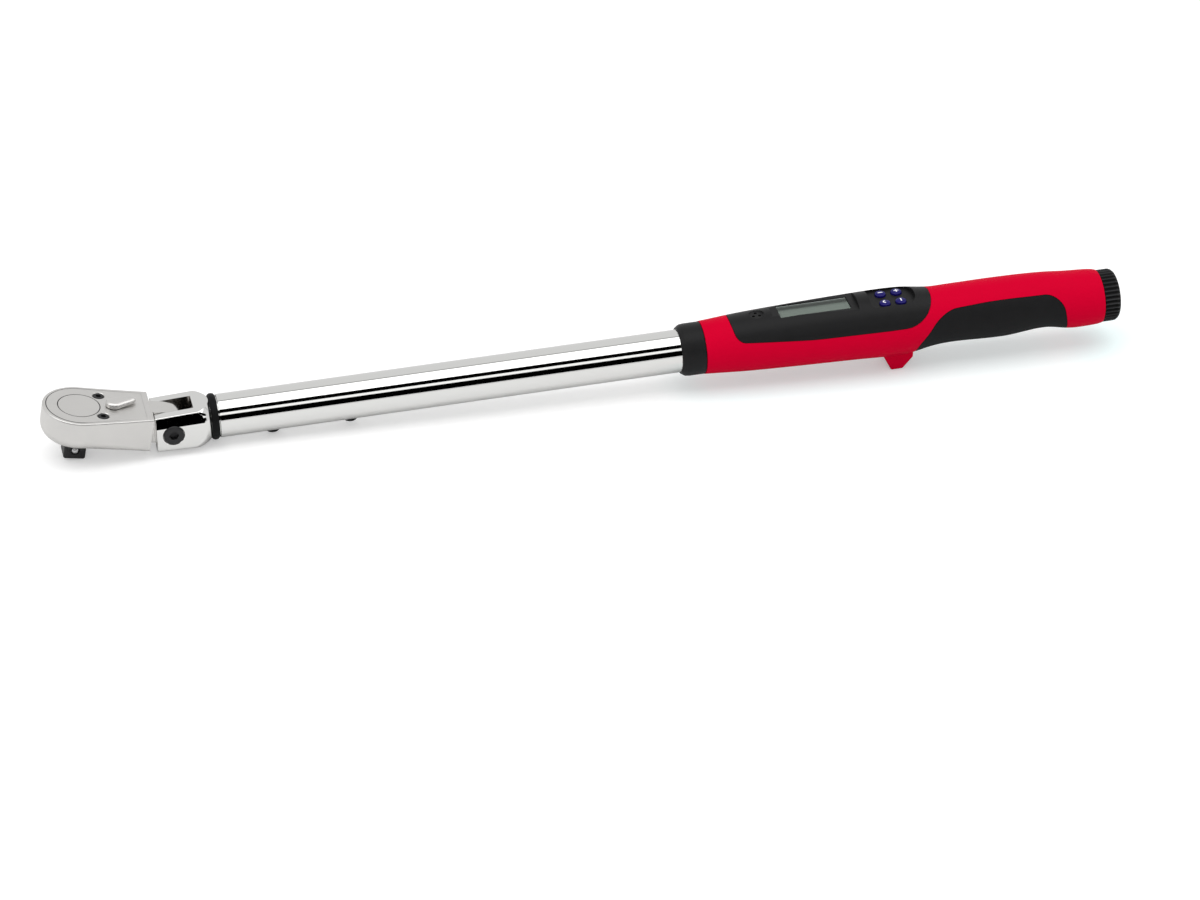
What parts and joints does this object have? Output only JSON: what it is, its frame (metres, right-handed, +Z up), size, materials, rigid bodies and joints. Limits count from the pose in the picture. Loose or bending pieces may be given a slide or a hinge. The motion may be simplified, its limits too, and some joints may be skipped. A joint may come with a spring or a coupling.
{
  "type": "digital torque wrench",
  "caption": "Long chromed lever tube with a flexing ratchet head, square drive and ball, and a moulded handle with display, keys, soft grip and battery cap.",
  "frame": {"origin": "centre of the square drive's end face", "axes": "+X along the lever tube towards the battery cap, +Z up out of the display, +Y to the left of the tube seen from the head"},
  "size_m": [0.6429, 0.042, 0.0526],
  "materials": {
    "satin_nickel": "satin nickel plate",
    "polished_chrome": "polished chrome plate",
    "black_oxide_steel": "black oxide",
    "bright_steel": "bright steel",
    "black_rubber": "moulded rubber",
    "soft_grip_rubber": "soft moulded grip",
    "red_plastic": "fine textured moulding",
    "black_plastic": "fine textured moulding",
    "navy_rubber": "smooth coloured keys",
    "display_glass": "grey-green liquid crystal glass",
    "clear_window": "clear window",
    "circuit_board": "solder resist",
    "brass": "plain brass",
    "gauge_foil": "polyimide foil",
    "white_plastic": "connector plastic",
    "battery_jacket": null
  },
  "bodies": {
    "lever": {"flex_yoke": "polished_chrome", "pivot_screw": "black_oxide_steel", "dust_seal": "black_rubber", "lever_tube": "polished_chrome", "torque_beam": "bright_steel", "strain_gauge_left": "gauge_foil", "strain_gauge_right": "gauge_foil", "gauge_cable": "black_plastic", "cable_plug": "white_plastic", "tube_screw_front": "black_oxide_steel", "tube_screw_rear": "black_oxide_steel", "tube_collar": "black_plastic", "handle_housing": "red_plastic", "grip_insert": "soft_grip_rubber", "display_panel": "black_plastic", "display_lens": "clear_window", "lcd_module": "display_glass", "circuit_board": "circuit_board", "control_chip": "black_plastic", "buzzer": "brass", "switch_pad": "black_rubber", "contact_carrier": "black_plastic", "front_spring": "bright_steel", "battery_1": "battery_jacket", "battery_2": "battery_jacket", "battery_3": "battery_jacket"},
    "head": {"ratchet_housing": "satin_nickel", "cover_plate": "satin_nickel", "cover_screw_left": "black_oxide_steel", "cover_screw_right": "black_oxide_steel", "friction_washer_left": "bright_steel", "friction_washer_right": "bright_steel"},
    "drive": {"drive_gear": "black_oxide_steel", "ball_spring": "bright_steel"},
    "ball": {"socket_ball": "bright_steel"},
    "reverser": {"reverser_lever": "satin_nickel", "detent_plunger": "bright_steel", "detent_spring": "bright_steel"},
    "pawl": {"pawl": "black_oxide_steel"},
    "key_power": {"button_power": "navy_rubber"},
    "key_plus": {"button_plus": "navy_rubber"},
    "key_units": {"button_units": "navy_rubber"},
    "key_minus": {"button_minus": "navy_rubber"},
    "contact": {"cap_contact": "brass", "cap_spring": "bright_steel"},
    "cap": {"battery_cap": "black_plastic", "cap_seal": "black_rubber"}
  },
  "joints": [
    {"name": "head_flex", "type": "hinge", "parent": "lever", "child": "head", "pos_m": [0.05729, 0, 0.01173], "axis": [0, 1, 0], "range_deg": [-26, 4]},
    {"name": "drive_spin", "type": "hinge", "parent": "head", "child": "drive", "pos_m": [0, 0, 0], "axis": [0.1908, 0, 0.9816], "continuous": true},
    {"name": "ball_press", "type": "slide", "parent": "drive", "child": "ball", "axis": [0, 1, 0], "range_m": [0, 0.00085], "stiffness_N_per_m": 1500, "springref_m": -0.0005},
    {"name": "reverser_turn", "type": "hinge", "parent": "head", "child": "reverser", "pos_m": [0.02392, 0, 0.01822], "axis": [0.1908, 0, 0.9816], "range_deg": [-40, 0]},
    {"name": "pawl_rock", "type": "hinge", "parent": "head", "child": "pawl", "pos_m": [0.02392, 0, 0.01822], "axis": [0.1908, 0, 0.9816], "range_deg": [-14, 0]},
    {"name": "power_press", "type": "slide", "parent": "lever", "child": "key_power", "axis": [0, 0, -1], "range_m": [0, 0.0008], "stiffness_N_per_m": 1500, "springref_m": -0.0002},
    {"name": "plus_press", "type": "slide", "parent": "lever", "child": "key_plus", "axis": [0, 0, -1], "range_m": [0, 0.0008], "stiffness_N_per_m": 1500, "springref_m": -0.0002},
    {"name": "units_press", "type": "slide", "parent": "lever", "child": "key_units", "axis": [0, 0, -1], "range_m": [0, 0.0008], "stiffness_N_per_m": 1500, "springref_m": -0.0002},
    {"name": "minus_press", "type": "slide", "parent": "lever", "child": "key_minus", "axis": [0, 0, -1], "range_m": [0, 0.0008], "stiffness_N_per_m": 1500, "springref_m": -0.0002},
    {"name": "cap_draw", "type": "slide", "parent": "lever", "child": "contact", "axis": [1, 0, 0], "range_m": [0, 0.0046]},
    {"name": "cap_turn", "type": "hinge", "parent": "contact", "child": "cap", "pos_m": [0.62559, 0, 0.00853], "axis": [1, 0, 0], "range_deg": [0, 540]}
  ],
  "couplings": [
    {"joint": "pawl_rock", "follows": "reverser_turn", "ratio": 0.35},
    {"joint": "cap_draw", "follows": "cap_turn", "m_per_rad": 0.00047746}
  ]
}
